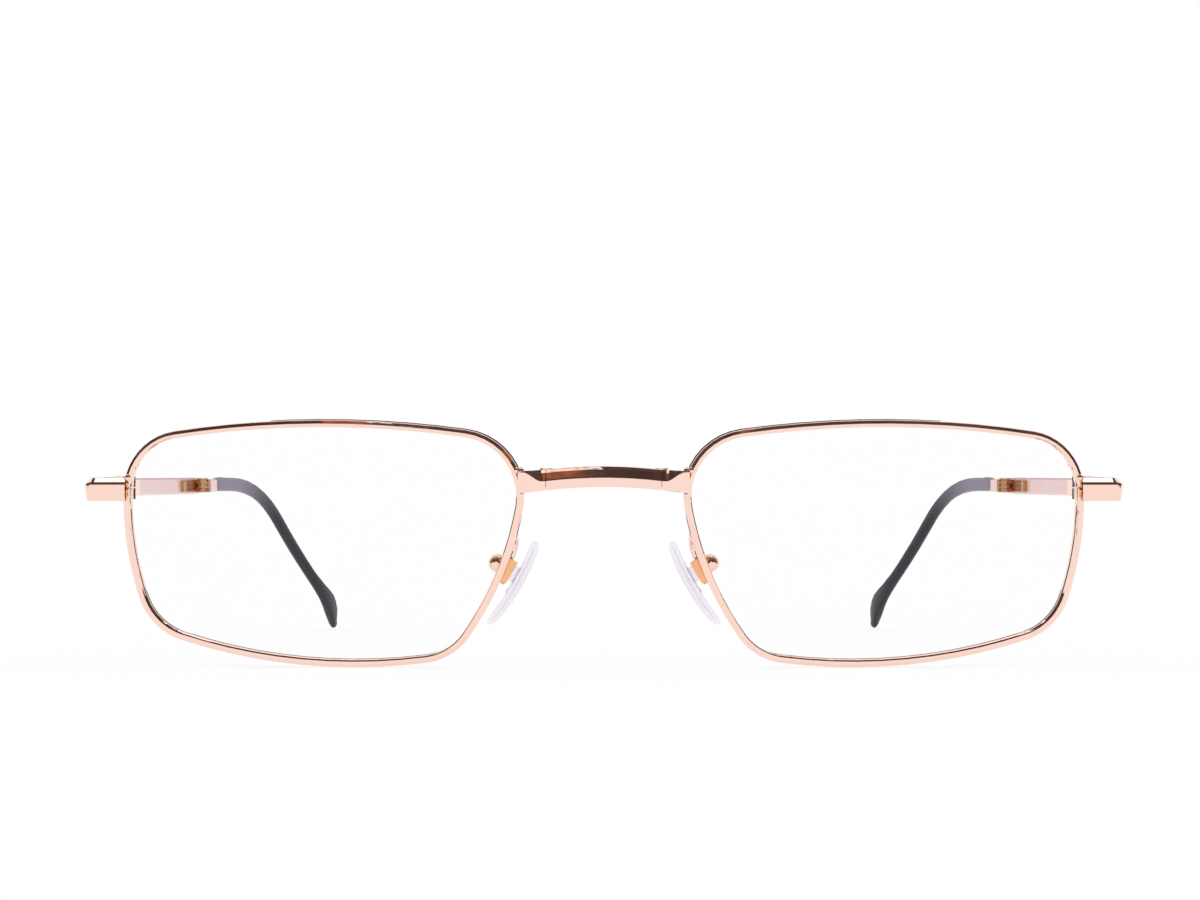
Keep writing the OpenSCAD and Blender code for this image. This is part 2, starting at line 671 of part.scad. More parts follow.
module left_pad_box() {
    color(gold) difference() {
        box_solid(0);
        at_pad() translate([-2, -slot_w / 2, -box_len / 2 + 0.4]) cube([2.65, slot_w, box_len - 0.8]);
        at_pad() cylinder(r = pin_r, h = box_len + 2, center = true);
    }
}

module left_pad_screw() {
    color(steel) at_pad() translate([0, 0, -box_len / 2]) mirror([0, 0, 1])
        screw(pin_r, box_len, 0.7, 0.3);
}

clip_w = slot_w - 0.5;
pad_face = -1.7;

module left_pad_clip() {
    long = box_len - 0.8 - 2 * run;
    color(clear) at_pad() difference() {
        union() {
            translate([pad_face + solder, -clip_w / 2, -long / 2]) cube([-pad_face - solder, clip_w, long]);
            cylinder(r = clip_w / 2, h = long, center = true);
        }
        cylinder(r = pin_r + screw_play, h = box_len, center = true);
    }
}

// Pad: an oval that curves along its length, thick in the middle and rounded at its edge.
module left_nose_pad() {
    down = -1.15;
    spread_y = 1.3;
    bowed = pad_curve - sqrt(pow(pad_curve, 2) - pow(down, 2));
    color(clear) at_pad() difference() {
        translate([pad_face - pad_t / 2 + 0.08, spread_y, down]) rotate(pad_splay)
            skin([for (t = [-0.985, -0.94, -0.86, -0.72, -0.52, -0.28, 0, 0.28, 0.52, 0.72, 0.86, 0.94, 0.985])
                let (z = t * pad_len / 2, k = sqrt(1 - t * t), w = k * pad_w / 2,
                     h = pad_t / 2 * sqrt(1 - pow(abs(t), 10)), x = pad_curve - sqrt(pow(pad_curve, 2) - z * z))
                [for (a = [0:30:330]) [x - bowed + h * cos(a), w * sin(a), z]]]);
        translate([pad_face, -clip_w / 2 - solder, -box_len / 2]) cube([2, clip_w + 2 * solder, box_len]);
    }
}

module right_rim() mirror([1, 0, 0]) left_rim();
module right_lens() mirror([1, 0, 0]) left_lens();
module right_block_upper() mirror([1, 0, 0]) left_block_upper();
module right_block_lower() mirror([1, 0, 0]) left_block_lower();
module right_block_screw() mirror([1, 0, 0]) left_block_screw();
module right_end_piece() mirror([1, 0, 0]) left_end_piece();
module right_end_leaf() mirror([1, 0, 0]) left_end_leaf();
module right_end_screw() mirror([1, 0, 0]) left_end_screw();
module right_lug() mirror([1, 0, 0]) left_lug();
module right_lug_leaf() mirror([1, 0, 0]) left_lug_leaf();
module right_pad_arm() mirror([1, 0, 0]) left_pad_arm();
module right_pad_box() mirror([1, 0, 0]) left_pad_box();
module right_pad_screw() mirror([1, 0, 0]) left_pad_screw();
module right_pad_clip() mirror([1, 0, 0]) left_pad_clip();
module right_nose_pad() mirror([1, 0, 0]) left_nose_pad();
module right_temple_bar() mirror([1, 0, 0]) left_temple_bar();
module right_temple_housing() mirror([1, 0, 0]) left_temple_housing();
module right_mid_leaf_front() mirror([1, 0, 0]) left_mid_leaf_front();
module right_mid_screw() mirror([1, 0, 0]) left_mid_screw();
module right_mid_leaf_rear() mirror([1, 0, 0]) left_mid_leaf_rear();
module right_rear_bar() mirror([1, 0, 0]) left_rear_bar();
module right_temple_tip() mirror([1, 0, 0]) left_temple_tip();

bridge_bar();
left_bridge_leaf();
right_bridge_leaf();
left_bridge_screw();
right_bridge_screw();
left_rim();
left_lens();
left_block_upper();
left_block_lower();
left_block_screw();
left_end_piece();
left_end_leaf();
left_end_screw();
left_lug();
left_lug_leaf();
left_pad_arm();
left_pad_box();
left_pad_screw();
left_pad_clip();
left_nose_pad();
left_temple_bar();
left_temple_housing();
left_mid_leaf_front();
left_mid_screw();
left_mid_leaf_rear();
left_rear_bar();
left_temple_tip();
right_rim();
right_lens();
right_block_upper();
right_block_lower();
right_block_screw();
right_end_piece();
right_end_leaf();
right_end_screw();
right_lug();
right_lug_leaf();
right_pad_arm();
right_pad_box();
right_pad_screw();
right_pad_clip();
right_nose_pad();
right_temple_bar();
right_temple_housing();
right_mid_leaf_front();
right_mid_screw();
right_mid_leaf_rear();
right_rear_bar();
right_temple_tip();
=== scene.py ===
# %% [markdown]
# # Folding reading glasses in rose gold
#
# These are slim metal readers that fold small enough for a pocket. The bridge has a hinge on each
# side, and each temple has one where it meets the front and a second one half way along. The
# frame that we load is exact, down to the screws, so this lesson adds what the eye looks for:
# edges that polishing has rounded, pink plating, soft clear pads, glass, and a studio for the
# metal to mirror.

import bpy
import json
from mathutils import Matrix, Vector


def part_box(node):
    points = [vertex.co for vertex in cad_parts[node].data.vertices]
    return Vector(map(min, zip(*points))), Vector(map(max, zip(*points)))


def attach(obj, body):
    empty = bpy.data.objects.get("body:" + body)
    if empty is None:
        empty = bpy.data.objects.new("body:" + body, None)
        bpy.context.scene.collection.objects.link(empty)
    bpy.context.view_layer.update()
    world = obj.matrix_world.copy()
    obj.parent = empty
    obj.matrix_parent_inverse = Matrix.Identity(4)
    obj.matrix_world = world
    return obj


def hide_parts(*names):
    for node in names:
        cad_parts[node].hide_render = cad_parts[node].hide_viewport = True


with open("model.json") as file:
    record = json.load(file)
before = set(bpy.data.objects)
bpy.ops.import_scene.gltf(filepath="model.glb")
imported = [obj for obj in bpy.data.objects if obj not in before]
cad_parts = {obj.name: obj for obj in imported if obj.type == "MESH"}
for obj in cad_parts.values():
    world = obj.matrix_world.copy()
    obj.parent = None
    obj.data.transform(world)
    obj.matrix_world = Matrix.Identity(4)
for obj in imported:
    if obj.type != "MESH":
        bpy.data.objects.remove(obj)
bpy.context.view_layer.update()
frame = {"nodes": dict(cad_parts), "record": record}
nodes = frame["nodes"]

# %% Tools and units
import json
from math import cos, pi, radians, sin

import bmesh
import bpy
from mathutils import Matrix, Vector, noise

MM = 0.001
SIDES = {"left": 1, "right": -1}    # and the way of each along x


front_low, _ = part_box("bridge_bar")
print("front of the bridge bar at y =", round(front_low.y / MM, 2), "mm")

# %% [markdown]
# ## The camera
#
# The photograph was taken from straight in front, level, with a long lens. Three things settle
# it. In the plane of the bridge a millimetre covers 7.6 pixels. The tips of the temples stand on
# the same table as the rims, which gives the distance and the height. The last is where the
# straight view ahead falls in the picture, and a small lens shift puts it there without turning
# the camera.

# %% Camera
PHOTO_WIDE, PHOTO_HIGH = 1200, 900
PIXELS_PER_MM = 7.6
AHEAD = (603.8, 472.0)
DISTANCE = 397 * MM
HEIGHT = 25.9 * MM
SENSOR = 36.0

lens_data = bpy.data.cameras.new("camera")
lens_data.sensor_width = SENSOR
lens_data.lens = PIXELS_PER_MM * DISTANCE / MM / PHOTO_WIDE * SENSOR
lens_data.shift_x = (PHOTO_WIDE / 2 - AHEAD[0]) / PHOTO_WIDE
lens_data.shift_y = (AHEAD[1] - PHOTO_HIGH / 2) / PHOTO_WIDE
camera = bpy.data.objects.new("camera", lens_data)
camera.location = (0, front_low.y - DISTANCE, HEIGHT)
camera.rotation_euler = (pi / 2, 0, 0)
bpy.context.scene.collection.objects.link(camera)
bpy.context.scene.camera = camera
bpy.context.scene.view_settings.view_transform = "Standard"
print("focal length", round(lens_data.lens, 1), "mm")

# %% [markdown]
# ## Shader sums as plain Python
#
# A finish is easier to read as a sum than as a row of nodes. The class below wraps a socket, and
# each sign in an expression adds the Math node that does it. Every other node comes from one
# method that takes its type, its settings and its inputs.

# %% A socket that can be used in a sum
def number_or_link(tree, socket, value):
    """Links a wire into the socket, or writes a plain value there."""
    if isinstance(value, Wire):
        tree.links.new(value.socket, socket)
    elif value is not None:
        socket.default_value = value


class Wire:
    """An output socket that takes part in Python sums."""

    def __init__(self, finish, socket):
        self.finish, self.socket = finish, socket

    def out(self, name):
        """Another output of the same node."""
        return Wire(self.finish, self.socket.node.outputs[name])

    def sum(self, operation, *values):
        return self.finish.add("Math", {"operation": operation}, dict(enumerate(values)))

    def __add__(self, other):
        return self.sum("ADD", self, other)

    def __radd__(self, other):
        return self.sum("ADD", other, self)

    def __sub__(self, other):
        return self.sum("SUBTRACT", self, other)

    def __rsub__(self, other):
        return self.sum("SUBTRACT", other, self)

    def __mul__(self, other):
        return self.sum("MULTIPLY", self, other)

    def __rmul__(self, other):
        return self.sum("MULTIPLY", other, self)

    def larger(self, other):
        return self.sum("MAXIMUM", self, other)

    def size(self):
        return self.sum("ABSOLUTE", self)


class Finish:
    """A material under construction."""

    def __init__(self, name):
        self.material = bpy.data.materials.new(name)
        self.material.use_nodes = True
        self.tree = self.material.node_tree
        self.tree.nodes.clear()
        self.output = self.tree.nodes.new("ShaderNodeOutputMaterial")

    def add(self, kind, settings=None, inputs=None):
        """Adds a node, sets it up, fills its inputs and returns its first output."""
        node = self.tree.nodes.new("ShaderNode" + kind)
        for name, value in (settings or {}).items():
            setattr(node, name, value)
        for name, value in (inputs or {}).items():
            number_or_link(self.tree, node.inputs[name], value)
        return Wire(self, node.outputs[0])

    def where(self):
        """Place on the object, in metres."""
        return self.add("TexCoord").out("Object")

    def noise(self, place, per_mm, detail=3.0, stretch=None):
        """Cloudy noise from 0 to 1. stretch thins it along an axis."""
        if stretch:
            place = self.add("Mapping", {}, {"Vector": place, "Scale": stretch})
        return self.add("TexNoise", {}, {"Vector": place, "Scale": per_mm / MM, "Detail": detail,
                                         "Roughness": 0.6})

    def step(self, value, low, high):
        """0 below low, 1 above high and smooth between them."""
        return self.add("MapRange", {"interpolation_type": "SMOOTHSTEP"},
                        {"Value": value, "From Min": low, "From Max": high})

    def tint(self, factor, first, second):
        """A colour between two others."""
        mixed = self.add("Mix", {"data_type": "RGBA"}, {"Factor": factor})
        node = mixed.socket.node
        number_or_link(self.tree, node.inputs[6], first)
        number_or_link(self.tree, node.inputs[7], second)
        return Wire(self, node.outputs[2])

    def bump(self, height, depth, over=None):
        """Normal of a surface raised by height, depth metres at most."""
        return self.add("Bump", {}, {"Strength": 1.0, "Distance": depth, "Height": height,
                                     "Normal": over})

    def edge(self):
        """1 on the narrow faces that rounding has made, and 0 elsewhere."""
        return self.add("Attribute", {"attribute_name": "edge"}).out("Fac")

    def surface(self, wire):
        self.tree.links.new(wire.socket, self.output.inputs["Surface"])
        return self.material


print("shader helpers ready")

# %% [markdown]
# ## Rose gold plating
#
# The metal is nickel silver under a skin of copper rich gold. It is polished before it is plated,
# so it mirrors the room, but never perfectly. The polishing wheel leaves long soft waves, fingers
# leave a haze, and drawing the wire leaves hair lines. We put the haze and the hair lines into
# roughness, the waves into a bump of a few hundredths of a millimetre, and let the plating vary
# in tone.

# %% Plated metal
WAVE = 0.024 * MM
HAIR = 0.0012 * MM
EDGE_WEAR = 0.6
OUTER_BLEND = 0.3 * MM


def plated(name, tone, deep, haze, edge_tone, brushed=0.0, outer=None, mirror=1.0):
    """Plated metal whose tone drifts towards deep, and towards edge_tone on rounded edges.

    haze is its roughness where it is clean, brushed deepens its hair lines and mirror says how
    metallic it is. outer is a distance from the middle plane and the tone beyond it."""
    finish = Finish(name)
    place = finish.where()
    drift = finish.noise(place, 0.16, 2.0)
    worn = finish.edge() * finish.noise(place, 1.1, 2.0)
    smear = finish.step(finish.noise(place, 0.5, 4.0), 0.45, 0.75)
    hair = finish.noise(place, 6.0, 2.0, (1.0, 0.06, 1.0))
    scratch = finish.step(finish.noise(place, 9.0, 1.0, (0.05, 0.05, 1.0)), 0.66, 0.72)
    colour = finish.tint(finish.step(drift, 0.3, 0.75), tone, deep)
    colour = finish.tint(worn * EDGE_WEAR, colour, edge_tone)
    if outer:
        start, outer_tone = outer
        sideways = finish.add("SeparateXYZ", {}, {0: place}).out("X").size()
        beyond = finish.step(sideways, start, start + OUTER_BLEND)
        colour = finish.tint(beyond, colour, outer_tone)
    rough = haze + 0.05 * smear + 0.05 * scratch + (0.04 + brushed) * hair + 0.06 * worn
    waves = finish.bump(finish.noise(place, 0.45, 1.0), WAVE)
    normal = finish.bump(hair * (0.4 + brushed) + scratch * 0.6, HAIR, waves)
    shell = finish.add("BsdfPrincipled", {}, {"Base Color": colour, "Metallic": mirror,
                                              "Roughness": rough, "Normal": normal})
    return finish.surface(shell)


rose_gold = plated("rose_gold", (0.975, 0.715, 0.620, 1), (0.960, 0.685, 0.590, 1), 0.02,
                   (0.99, 0.79, 0.69, 1))
rose_satin = plated("rose_satin", (0.90, 0.660, 0.645, 1), (0.88, 0.640, 0.625, 1), 0.24,
                    (0.95, 0.78, 0.72, 1), 0.08, mirror=0.3)
orange_gold = plated("orange_gold", (0.93, 0.500, 0.250, 1), (0.84, 0.400, 0.180, 1), 0.05,
                     (0.96, 0.62, 0.36, 1), 0.02)
# A deeper gold for the hinge leaves: painted shade for their recesses among the barrels.
shaded_gold = plated("shaded_gold", (0.60, 0.320, 0.160, 1), (0.40, 0.190, 0.100, 1), 0.09,
                   (0.85, 0.55, 0.32, 1), 0.04)
screw_metal = plated("screw_metal", (0.80, 0.540, 0.360, 1), (0.70, 0.440, 0.280, 1), 0.10,
                     (0.93, 0.72, 0.54, 1), 0.06)
box_gold = plated("box_gold", (0.93, 0.500, 0.250, 1), (0.84, 0.420, 0.200, 1), 0.05,
                  (0.98, 0.74, 0.60, 1), outer=(13.8 * MM, (0.965, 0.680, 0.570, 1)))
print("metals:", rose_gold.name, orange_gold.name, screw_metal.name)

# %% [markdown]
# ## Satin tips, soft pads and glass
#
# The tips are acetate with a satin skin: nearly black, but lighter where the metal core shines
# through. The pads are soft clear plastic with a trace of violet, which tints the light that
# passes. The lens is thin and coated. For pads and lens we mix what goes straight through with
# what the surface sends back, and a Fresnel term decides how much that is, as on real glass. Only
# the outer side of a surface sends anything back.

# %% Tip, pad and lens finishes
# Between these two places along y a tip darkens from the grey over its core to smoke.
TIP_FADE = (0.024, 0.036)
TIP_GRAIN = 0.0002 * MM
GLASS_IOR = 1.5


def satin_tip():
    """Smoke grey sleeve, lighter where the metal core shines through its first stretch."""
    finish = Finish("satin_tip")
    place = finish.where()
    depth = finish.add("SeparateXYZ", {}, {0: place}).out("Y")
    mottle = finish.noise(place, 0.7, 3.0)
    grain = finish.noise(place, 9.0, 3.0)
    rub = finish.step(finish.noise(place, 0.35, 3.0), 0.5, 0.8)
    smoke = finish.tint(mottle, (0.012, 0.007, 0.016, 1), (0.018, 0.011, 0.024, 1))
    over_core = finish.tint(mottle, (0.235, 0.210, 0.270, 1), (0.260, 0.235, 0.295, 1))
    colour = finish.tint(finish.step(depth, *TIP_FADE), over_core, smoke)
    shell = finish.add("BsdfPrincipled", {}, {
        "Base Color": colour, "Roughness": 0.34 + 0.08 * mottle - 0.06 * rub, "IOR": 1.44,
        "Normal": finish.bump(grain, TIP_GRAIN)})
    return finish.surface(shell)


def clear(name, through, skin, strength, least, rough, shine=0.5):
    """Clear stuff: through tints what passes, skin is the colour of what the surface sends back.

    least is the share sent back everywhere, strength scales what Fresnel adds to it, and shine is
    the height of the highlight."""
    finish = Finish(name)
    cloud = finish.noise(finish.where(), 0.8, 3.0)
    passing = finish.add("BsdfTransparent", {}, {"Color": through})
    duller = tuple(0.94 * channel for channel in skin[:3]) + (1,)
    back = finish.add("BsdfPrincipled", {}, {
        "Base Color": finish.tint(cloud, skin, duller), "Roughness": rough + 0.04 * cloud,
        "IOR": GLASS_IOR, "Specular IOR Level": shine})
    gloss = finish.add("Fresnel", {}, {"IOR": GLASS_IOR})
    outside = 1 - finish.add("NewGeometry").out("Backfacing")
    return finish.surface(finish.add("MixShader", {}, {
        "Fac": (least + strength * gloss) * outside, 1: passing, 2: back}))


tip_satin = satin_tip()
soft_clear = clear("soft_clear", (0.952, 0.935, 0.962, 1), (0.80, 0.73, 0.83, 1), 0.45, 0.0,
                   0.30, shine=0.0)
hard_clear = clear("hard_clear", (0.940, 0.925, 0.955, 1), (0.78, 0.72, 0.81, 1), 0.9, 0.08,
                   0.20, shine=0.2)
core_clear = clear("core_clear", (0.970, 0.958, 0.976, 1), (0.86, 0.80, 0.88, 1), 0.5, 0.0,
                   0.30, shine=0.0)
lens_glass = clear("lens_glass", (0.998, 0.998, 1.0, 1), (0.90, 0.88, 0.95, 1), 0.22, 0.0, 0.02)
print("other finishes:", tip_satin.name, soft_clear.name, hard_clear.name, lens_glass.name)

# %% [markdown]
# ## Rounding what the frame gives
#
# Every piece of the frame is exact but has edges like a drawing. On the real glasses a tumbling
# drum and a polishing wheel have rounded them by a few hundredths of a millimetre, and that thin
# line is what catches the light. We could let a shader fake it, but geometry holds up from close
# by. So each solid is copied and merged, its triangles are joined back to whole faces, and its
# sharp edges get a real bevel. The narrow new faces are marked, so that the plating can show wear
# there.

# %% Copy a solid and round its edges
MERGE = 0.002 * MM                     # points closer than this become one
FLAT = radians(0.4)                    # faces that bend less than this become one
QUAD_BEND, QUAD_SKEW = radians(15), radians(60)
SHARP = radians(24)                    # edges that bend more than this are sharp
NARROW = 0.24 * MM                     # front faces narrower than this get no wide rounding
FACES_FRONT, FACES_SIDE = 0.5, 0.3     # how far a normal points forward, from 0 to 1
WIDE_STEPS, FINE_STEPS = 4, 2          # segments of a bevel
CREASE = 40                            # degrees at which shading breaks
SMOOTH = cos(radians(CREASE))


def clean_copy(node):
    """The surface of a solid of the frame as one welded mesh with as few faces as it needs."""
    bm = bmesh.new()
    bm.from_mesh(nodes[node].data)
    bmesh.ops.remove_doubles(bm, verts=bm.verts[:], dist=MERGE)
    bmesh.ops.dissolve_limit(bm, angle_limit=FLAT, verts=bm.verts[:], edges=bm.edges[:])
    bmesh.ops.join_triangles(bm, faces=bm.faces[:], angle_face_threshold=QUAD_BEND,
                             angle_shape_threshold=QUAD_SKEW)
    return bm


def sharp_edges(bm):
    return [edge for edge in bm.edges
            if edge.is_manifold and edge.calc_face_angle(0) > SHARP and edge.calc_length() > 0]


def face_width(face):
    return face.calc_area() / max(edge.calc_length() for edge in face.edges)


def on_plane(edge, planes):
    """Whether an edge lies in one of the planes that end a piece across x."""
    return any(all(abs(vert.co.x - x) < 2 * MERGE for vert in edge.verts) for x in planes)


def front_edges(bm, ends=()):
    """Sharp edges of wide faces seen from the front: those beside a wall, and the rest."""
    beside_wall, between = [], []
    for edge in sharp_edges(bm):
        least, most = sorted(-face.normal.y for face in edge.link_faces)
        wide = min(face_width(face) for face in edge.link_faces) > NARROW
        if wide and most > FACES_FRONT and not on_plane(edge, ends):
            (beside_wall if least < FACES_SIDE else between).append(edge)
    return beside_wall, between


def bevel(bm, edges, radius, segments, clamp=True):
    """Rounds the edges and returns the new faces. Unclamped, a rounding may pass short edges."""
    edges = [edge for edge in edges if edge.is_valid]
    made = bmesh.ops.bevel(bm, geom=edges, offset=radius, offset_type="OFFSET", segments=segments,
                           profile=0.5, affect="EDGES", material=-1, clamp_overlap=clamp)
    return made["faces"]


def round_edges(bm, radius, wall, ridge, ends):
    """Rounds the sharp edges and marks the narrow new faces in the attribute called edge.

    If wall isn't 0, front edges beside a wall get that wider radius first, and those between two
    forward faces get ridge. Edges in the planes of the ends stay narrow."""
    mark = bm.faces.layers.float.new("edge")
    wide = 0
    if wall:
        beside_wall, between = front_edges(bm, ends)
        wide += len(bevel(bm, beside_wall, wall, WIDE_STEPS))
        wide += len(bevel(bm, between, ridge, WIDE_STEPS))
    narrow = bevel(bm, sharp_edges(bm), radius, FINE_STEPS)
    for face in narrow:
        face[mark] = 1.0
    return wide + len(narrow)


def weigh_normals(mesh, crease):
    """Sets normals in which wide faces count most, so that flats stay flat up to their rounding.

    Flats that meet at more than crease, in degrees, keep a crisp line between them."""
    marks = mesh.attributes["edge"].data
    crisp = cos(radians(crease))
    around = {}
    for face in mesh.polygons:
        for corner in face.vertices:
            around.setdefault(corner, []).append(face)
    normals = []
    for face in mesh.polygons:
        for corner in face.vertices:
            total = Vector()
            for other in around[corner]:
                soft = marks[face.index].value or marks[other.index].value
                if other.normal.dot(face.normal) > (SMOOTH if soft else crisp):
                    total += other.normal * other.area
            normals.append(total.normalized())
    mesh.normals_split_custom_set(normals)


def piece_from(bm, name, finish, body, stands_for=(), crease=CREASE):
    """Turns a bmesh into a finished piece that rides on a body of the frame."""
    for face in bm.faces:
        face.smooth = True
    mesh = bpy.data.meshes.new(name)
    bm.to_mesh(mesh)
    bm.free()
    weigh_normals(mesh, crease)
    mesh.materials.append(finish)
    piece = bpy.data.objects.new(name, mesh)
    bpy.context.scene.collection.objects.link(piece)
    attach(piece, body)
    if stands_for:
        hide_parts(*stands_for)


body_of = {node: body for body, members in frame["record"]["behaviour"]["bodies"].items()
           for node in members}
slot_of = {row["node"]: row["material_slot"] for row in frame["record"]["subparts"]}
FINISH_OF = {"rose_metal": rose_gold, "hinge_metal": orange_gold, "screw": screw_metal,
             "lens": lens_glass, "clear_plastic": hard_clear, "tip_plastic": tip_satin}


def polish(node, radius, wall=0.0, ridge=0.0, finish=None, shape=None, crease=CREASE):
    """Replaces a node of the frame by its copy with rounded edges. shape reworks it first.

    radius, wall and ridge are what round_edges takes, in millimetres."""
    bm = clean_copy(node)
    if shape:
        shape(bm)
    across = [vert.co.x for vert in bm.verts]
    rounded = round_edges(bm, radius * MM, wall * MM, ridge * MM, (min(across), max(across)))
    faces = len(bm.faces)
    piece_from(bm, f"{node}_polished", finish or FINISH_OF[slot_of[node]], body_of[node],
               (node,), crease)
    return f"{node}: {rounded} of {faces} faces are rounding"


# %% [markdown]
# ## The front: bridge, rims and end pieces
#
# The wide flats and bevels of the front are what the photograph is about. The rim is drawn wire,
# and its bevels run into each other over wide roundings. The bridge and the lugs keep crisp
# facets, down to bends of 9 degrees. The end pieces have a soft shoulder along their long edges.

# %% Polish the front
# Millimetres: the radius of all sharp edges, then of front edges beside a wall and between faces.
ROUNDING = {"rim": (0.035, 0.30, 0.16), "block_upper": (0.05,), "block_lower": (0.05,),
            "pad_arm": (0.02,)}
FACET_CREASE = 9
LUG_END, LUG_LIP, LUG_SPREAD = 1.1 * MM, 0.6 * MM, 0.55 * MM
END_SHOULDER, END_LONG = 0.24 * MM, 0.3 * MM


def lay_shoulder(bm):
    """Rounds the long front edges, those between two forward faces twice as wide as the others."""
    for edges, radius in zip(reversed(front_edges(bm)), (END_SHOULDER, 0.5 * END_SHOULDER)):
        long = [edge for edge in edges if edge.is_valid and edge.calc_length() > END_LONG]
        bevel(bm, long, radius, WIDE_STEPS, clamp=False)


def spread_lug(bm):
    """Draws the lug's thin lip out over the full width of the rim, as solder has pulled it."""
    reach = max(abs(vert.co.x) for vert in bm.verts)
    for vert in bm.verts:
        if abs(vert.co.x) > reach - LUG_END and vert.co.y < front_low.y + LUG_LIP:
            vert.co.x += LUG_SPREAD if vert.co.x > 0 else -LUG_SPREAD


print(polish("bridge_bar", 0.02, 0.10, 0.12, crease=FACET_CREASE))
for side in SIDES:
    for part, radii in ROUNDING.items():
        print(polish(f"{side}_{part}", *radii))
    print(polish(f"{side}_end_piece", 0.04, shape=lay_shoulder))
    print(polish(f"{side}_lug", 0.02, 0.08, 0.12, shape=spread_lug, crease=FACET_CREASE))
    print(polish(f"{side}_pad_box", 0.08, finish=box_gold))

# %% [markdown]
# Where the end piece meets the rim, the solder has run out and set as a row of small lumps. We
# sweep a ring up the joint and let noise swell and shift it.

# %% Solder at the end pieces
SEAM_THICK, SEAM_LEAST = 0.20 * MM, 0.01 * MM
SEAM_RINGS, SEAM_SIDES = 26, 10
SWELLS, SHIFTS, SHIFT_ROW = 5.3, 4.1, 2.7    # how far a seam runs through the noise, and where
SEAM_INSET, SEAM_DEPTH = 0.55 * MM, 0.62 * MM
SEAM_FOOT, SEAM_HEAD = 0.1 * MM, 0.5 * MM    # how far it stays inside the joint


def ring(bm, centre, across, along, count):
    """Points round an ellipse with the given half axes."""
    return [bm.verts.new(centre + across * cos(turn) + along * sin(turn))
            for turn in (2 * pi * k / count for k in range(count))]


def close_rings(bm, rings):
    """Joins rings of points to one closed skin whose faces are all unmarked."""
    for low, high in zip(rings, rings[1:]):
        for k in range(len(low)):
            after = (k + 1) % len(low)
            bm.faces.new((low[k], low[after], high[after], high[k]))
    bm.faces.new(rings[0][::-1])
    bm.faces.new(rings[-1])
    bm.faces.layers.float.new("edge")


def lumpy_seam(foot, head, name, body):
    """A seam of solder between two points, with lumps."""
    bm = bmesh.new()
    rings = []
    for i in range(SEAM_RINGS + 1):
        t = i / SEAM_RINGS
        swell = noise.noise(Vector((0, 0, SWELLS * t + foot.x / MM)))
        shift = noise.noise(Vector((SHIFT_ROW, 0, SHIFTS * t + foot.x / MM)))
        radius = SEAM_THICK * (0.75 + 0.75 * swell) * (1 - (2 * t - 1) ** 8) + SEAM_LEAST
        centre = foot.lerp(head, t) + Vector((0.5 * SEAM_THICK * shift, 0, 0))
        rings.append(ring(bm, centre, Vector((radius, 0, 0)), Vector((0, radius, 0)), SEAM_SIDES))
    close_rings(bm, rings)
    piece_from(bm, name, orange_gold, body)


for side, way in SIDES.items():
    block_low, block_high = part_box(f"{side}_block_lower")
    end_low, end_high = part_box(f"{side}_end_piece")
    rim_low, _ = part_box(f"{side}_rim")
    inner = min(abs(block_low.x), abs(block_high.x)) + SEAM_INSET
    front = end_low.y + SEAM_DEPTH
    lumpy_seam(Vector((way * inner, front, block_low.z + SEAM_FOOT)),
               Vector((way * inner, front, end_high.z - SEAM_HEAD)),
               f"{side}_solder", body_of[f"{side}_rim"])
    print(side, "solder at x =", round(way * inner / MM, 2), "mm, and",
          round((front - rim_low.y) / MM, 2), "mm behind the rim's foremost point")

# %% [markdown]
# ## Hinges and screws
#
# Each hinge is a stack of three barrels on flat leaves, with a slotted screw through it. The
# leaves are small brass castings that only get a light tumble, so the rounding is small. They
# get a deeper gold, which is painted shade for the recesses among the barrels.

# %% Polish the hinges
# Radii in millimetres.
HINGE_PARTS = {"bridge_leaf": 0.05, "lug_leaf": 0.05, "end_leaf": 0.05, "mid_leaf_front": 0.05,
               "mid_leaf_rear": 0.05, "temple_housing": 0.06, "bridge_screw": 0.03,
               "end_screw": 0.03, "mid_screw": 0.03, "pad_screw": 0.03, "block_screw": 0.03}
# These leaves take the deeper gold, as painted shade for the hinge recesses.
SHADED_LEAVES = ("mid_leaf_front", "mid_leaf_rear", "end_leaf", "bridge_leaf", "lug_leaf")
for side in SIDES:
    for part, radius in HINGE_PARTS.items():
        print(polish(f"{side}_{part}", radius, finish=shaded_gold if part in SHADED_LEAVES else None))

# %% [markdown]
# ## Temples
#
# The bars are flat wire with soft long edges. The tips are moulded, with no edge but the mouth
# where the bar goes in, so here the copy is not bevelled but subdivided: each long edge is split
# and the new points are pushed out along the curve between the old ones, which turns its flat
# sides round.

# %% Temple bars and tips
SOFT = radians(50)                     # moulded edges that bend less than this are rounded


def rounder(node):
    """A copy of a moulded solid with subdivided sides, and how many sharp edges the solid has."""
    bm = clean_copy(node)
    hard = len(sharp_edges(bm))
    soft = [edge for edge in bm.edges if edge.calc_face_angle(pi) <= SOFT]
    bmesh.ops.subdivide_edges(bm, edges=soft, cuts=1, smooth=1.0, use_grid_fill=True,
                              use_smooth_even=True)
    bm.faces.layers.float.new("edge")
    return bm, hard


for side in SIDES:
    print(polish(f"{side}_temple_bar", 0.12, finish=rose_satin))
    print(polish(f"{side}_rear_bar", 0.08, finish=rose_satin))
    tip, hard = rounder(f"{side}_temple_tip")
    print(f"{side} tip: {len(tip.faces)} faces, its solid has {hard} sharp edges")
    piece_from(tip, f"{side}_temple_tip_moulded", tip_satin, f"{side}_temple_rear",
               (f"{side}_temple_tip",))

# %% [markdown]
# ## Nose pads
#
# A pad is soft clear plastic moulded round a harder plate, which carries the block that the screw
# goes through. From the front one sees the pad edge on, a thin bow, with the plate inside it.

# %% Nose pads
CORE_SHARE, CORE_NOSE = 0.90, 0.93     # of the pad's half length: the plate's reach and its taper
CORE_RINGS, CORE_SIDES = 25, 12
CORE_THICK, CORE_WIDE = 0.20 * MM, 2.2 * MM


